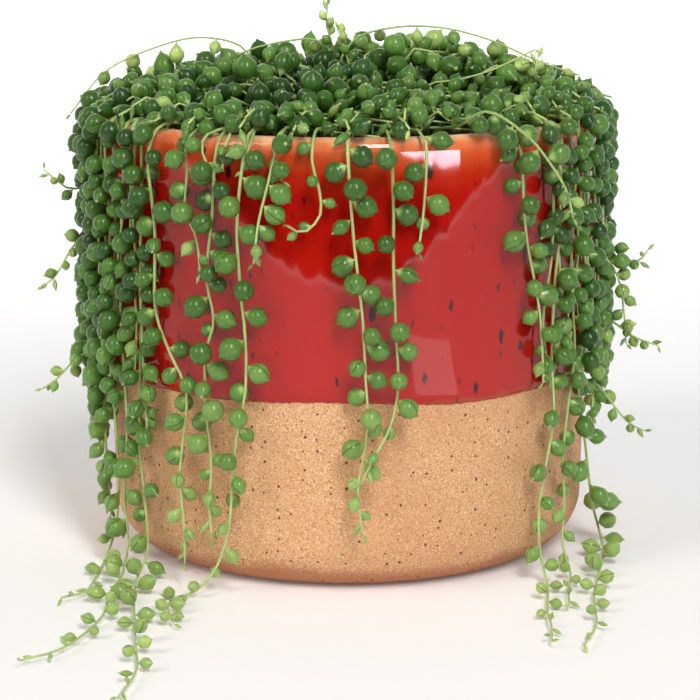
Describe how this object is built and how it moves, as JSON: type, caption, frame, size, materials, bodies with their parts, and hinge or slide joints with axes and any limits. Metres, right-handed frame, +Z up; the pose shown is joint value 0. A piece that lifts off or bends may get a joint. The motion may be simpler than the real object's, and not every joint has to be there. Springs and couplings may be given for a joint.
{
  "type": "potted string of pearls",
  "caption": "Trailing succulent with bead-shaped leaves in a round clay cover pot, glazed above a bare foot. Strands hang down the wall and trail on the surface around it.",
  "frame": {"origin": "centre of the pot's flat foot, on the surface that it stands on", "axes": "+Z up along the pot's axis, -Y towards the viewer's side where the trailing strands lie, +X to the viewer's right"},
  "size_m": [0.2015, 0.2827, 0.1705],
  "materials": {
    "clay": "matte",
    "glaze": "gloss",
    "soil": "matte",
    "leaf": "satin",
    "crown_leaf": "satin"
  },
  "bodies": {
    "root": {"clay_pot": "clay", "glaze_coat": "glaze", "soil": "soil", "crown": "crown_leaf", "strand_left_8": "leaf", "strand_left_7": "leaf", "strand_left_6": "leaf", "strand_left_5": "leaf", "strand_left_4": "leaf", "strand_left_3": "leaf", "strand_left_2": "leaf", "strand_left_1": "leaf", "strand_front_1": "leaf", "strand_front_2": "leaf", "strand_front_3": "leaf", "strand_front_4": "leaf", "strand_front_5": "leaf", "strand_front_6": "leaf", "strand_front_7": "leaf", "strand_front_8": "leaf", "strand_front_9": "leaf", "strand_front_10": "leaf", "strand_front_11": "leaf", "strand_right_1": "leaf", "strand_right_2": "leaf", "strand_right_3": "leaf", "strand_right_4": "leaf", "strand_right_5": "leaf", "strand_right_6": "leaf", "strand_right_7": "leaf", "strand_right_8": "leaf", "strand_back_1": "leaf", "strand_back_2": "leaf", "strand_back_3": "leaf", "strand_back_4": "leaf", "strand_back_5": "leaf", "strand_back_6": "leaf", "strand_back_7": "leaf", "strand_back_8": "leaf", "strand_back_9": "leaf", "strand_back_10": "leaf", "strand_back_11": "leaf", "strand_back_12": "leaf"}
  },
  "joints": []
}
